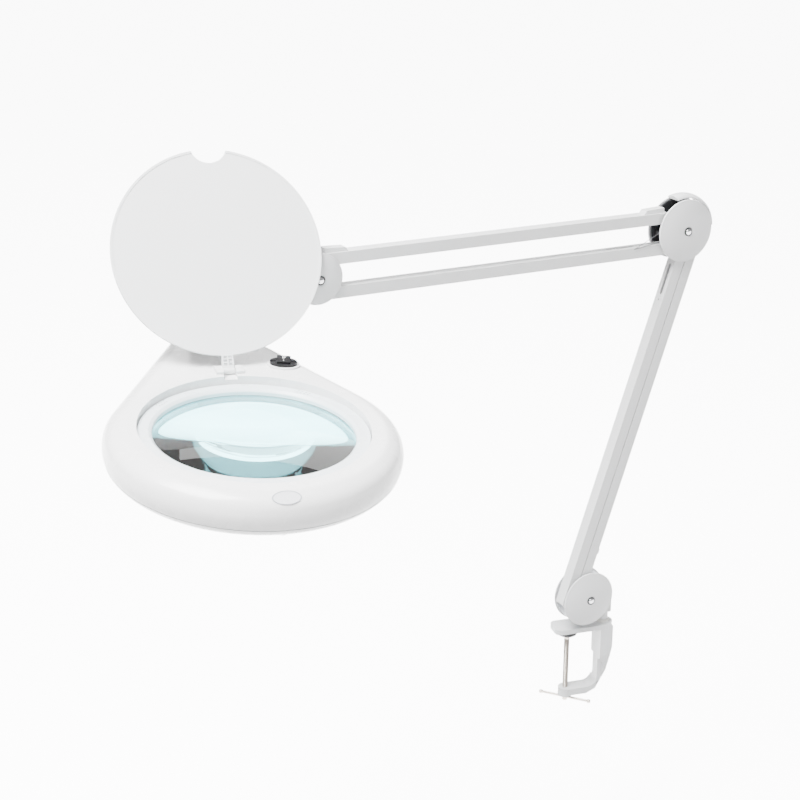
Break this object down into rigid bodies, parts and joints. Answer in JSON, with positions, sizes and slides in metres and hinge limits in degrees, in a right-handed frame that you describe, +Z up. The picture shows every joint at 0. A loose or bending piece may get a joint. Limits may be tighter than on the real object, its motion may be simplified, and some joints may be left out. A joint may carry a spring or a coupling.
{
  "type": "magnifying lamp",
  "caption": "Desk-clamp magnifying lamp: two parallel-bar spring arms, a tilting pear-shaped head with a ring light, a large round lens and a hinged lid, and a screw clamp.",
  "frame": {"origin": "on the clamp screw's axis, level with the underside of the top jaw, which rests on the table top", "axes": "+Z up, +X from the clamp screw to the clamp's column, +Y away from the side that the head hangs toward"},
  "size_m": [0.6758, 0.4127, 0.6581],
  "materials": {
    "clamp_paint": "satin powder coat",
    "arm_paint": "satin powder coat",
    "plate_steel": "satin black",
    "cover_plastic": "semi-gloss moulded",
    "head_plastic": "semi-gloss moulded",
    "ring_plastic": "semi-gloss moulded",
    "black_plastic": "fine matt",
    "black_rubber": "matt",
    "bush": "plain",
    "screw_steel": "turned, dull",
    "spring_steel": "drawn wire",
    "plated": "zinc plate",
    "lens_glass": "polished",
    "board": "solder mask",
    "diffuser_plastic": "opal",
    "badge_plastic": "plain"
  },
  "bodies": {
    "clamp": {"clamp_frame": "clamp_paint", "swivel_bush": "bush"},
    "pad": {"pressure_pad": "black_rubber", "screw_tip_collar": "plated"},
    "screw": {"clamp_screw": "screw_steel"},
    "tommy": {"tommy_bar": "screw_steel"},
    "base": {"base_post": "arm_paint", "base_side_plates": "plate_steel", "base_pivot_pins": "plated", "base_cover_front": "cover_plastic", "base_cover_rear": "cover_plastic", "base_cover_bolt": "plated"},
    "lower_left": {"lower_left_bar": "arm_paint", "lower_left_bushes": "bush", "lower_spring": "spring_steel"},
    "lower_right": {"lower_right_bar": "arm_paint", "lower_right_bushes": "bush", "lower_bar_clip": "cover_plastic"},
    "elbow": {"elbow_side_plates": "plate_steel", "elbow_pivot_pins": "plated", "elbow_cover_front": "cover_plastic", "elbow_cover_rear": "cover_plastic", "elbow_cover_bolt": "plated", "elbow_hood": "cover_plastic", "elbow_spring_anchor": "black_plastic"},
    "upper_top": {"upper_top_bar": "arm_paint", "upper_top_bushes": "bush", "upper_bar_tabs": "arm_paint"},
    "upper_bottom": {"upper_bottom_bar": "arm_paint", "upper_bottom_bushes": "bush", "upper_spring": "spring_steel"},
    "head_bracket": {"head_side_plates": "plate_steel", "head_pivot_pins": "plated", "head_cover_front": "cover_plastic", "head_cover_rear": "cover_plastic", "head_cover_bolt": "plated", "head_bracket_arm": "arm_paint"},
    "swivel": {"swivel_stem": "plated", "swivel_nut_set": "plated"},
    "head": {"head_top_shell": "head_plastic", "head_bottom_shell": "head_plastic", "lens": "lens_glass", "lens_ring": "ring_plastic", "lens_gasket": "black_rubber", "led_board": "board", "diffuser": "diffuser_plastic", "driver_board": "board", "shell_screws": "plated", "badge": "badge_plastic", "switch_bezel": "black_plastic", "cable_grommet": "black_rubber", "tilt_ears": "arm_paint", "tilt_bolt_set": "plated", "lid_hinge_base": "head_plastic", "lid_hinge_pin": "plated"},
    "knob": {"tilt_knob": "black_plastic"},
    "rocker": {"switch_rocker": "black_plastic"},
    "lid": {"lid": "head_plastic", "lid_hinge_arm": "head_plastic"}
  },
  "joints": [
    {"name": "base_swivel", "type": "hinge", "parent": "clamp", "child": "base", "pos_m": [0.042, 0, 0], "axis": [0, 0, 1], "range_deg": [-170, 170]},
    {"name": "lower_arm", "type": "hinge", "parent": "base", "child": "lower_left", "pos_m": [-0.00916, -0.01087, 0.0411], "axis": [0.2079, -0.9781, 0], "range_deg": [-1.3, 70]},
    {"name": "lower_arm_second", "type": "hinge", "parent": "base", "child": "lower_right", "pos_m": [0.01215, -0.00635, 0.06646], "axis": [0.2079, -0.9781, 0], "range_deg": [-1.3, 70]},
    {"name": "elbow_level", "type": "hinge", "parent": "lower_left", "child": "elbow", "pos_m": [0.11629, 0.01579, 0.41998], "axis": [0.2079, -0.9781, 0], "range_deg": [-70, 1.3]},
    {"name": "upper_arm", "type": "hinge", "parent": "elbow", "child": "upper_top", "pos_m": [0.09456, 0.01117, 0.46026], "axis": [0.2079, -0.9781, 0], "range_deg": [-50, 40]},
    {"name": "upper_arm_second", "type": "hinge", "parent": "elbow", "child": "upper_bottom", "pos_m": [0.09456, 0.01117, 0.42686], "axis": [0.2079, -0.9781, 0], "range_deg": [-50, 40]},
    {"name": "head_level", "type": "hinge", "parent": "upper_top", "child": "head_bracket", "pos_m": [-0.29663, -0.07198, 0.46794], "axis": [0.2079, -0.9781, 0], "range_deg": [-40, 50]},
    {"name": "head_swivel", "type": "hinge", "parent": "head_bracket", "child": "swivel", "pos_m": [-0.39322, -0.09251, 0.42891], "axis": [0.0512, 0.0109, 0.9986], "range_deg": [-100, 0]},
    {"name": "head_tilt", "type": "hinge", "parent": "swivel", "child": "head", "pos_m": [-0.39425, -0.09273, 0.40894], "axis": [0.9985, 0.0172, -0.0514], "range_deg": [0, 35]},
    {"name": "knob_turn", "type": "hinge", "parent": "head", "child": "knob", "pos_m": [-0.40922, -0.09298, 0.40971], "axis": [-0.9985, -0.0172, 0.0514], "continuous": true},
    {"name": "lid_hinge", "type": "hinge", "parent": "head", "child": "lid", "pos_m": [-0.39435, -0.14222, 0.3904], "axis": [0.9985, 0.0172, -0.0514], "range_deg": [0, 125.7]},
    {"name": "switch_rock", "type": "hinge", "parent": "head", "child": "rocker", "pos_m": [-0.34227, -0.13647, 0.3924], "axis": [0.9716, -0.2237, -0.0769], "range_deg": [-18, 0]},
    {"name": "screw_travel", "type": "slide", "parent": "clamp", "child": "pad", "axis": [0, 0, 1], "range_m": [-0.055, 0.0008]},
    {"name": "screw_turn", "type": "hinge", "parent": "pad", "child": "screw", "pos_m": [0, 0, -0.03], "axis": [0, 0, 1], "range_deg": [-19839.6, 293.8]},
    {"name": "tommy_slide", "type": "slide", "parent": "screw", "child": "tommy", "axis": [0.7716, -0.6361, 0], "range_m": [-0.021, 0.021]}
  ],
  "couplings": [
    {"joint": "lower_arm_second", "follows": "lower_arm", "ratio": 1},
    {"joint": "elbow_level", "follows": "lower_arm", "ratio": -1},
    {"joint": "upper_arm_second", "follows": "upper_arm", "ratio": 1},
    {"joint": "head_level", "follows": "upper_arm", "ratio": -1},
    {"joint": "screw_turn", "follows": "screw_travel", "rad_per_m": 6283.2}
  ]
}
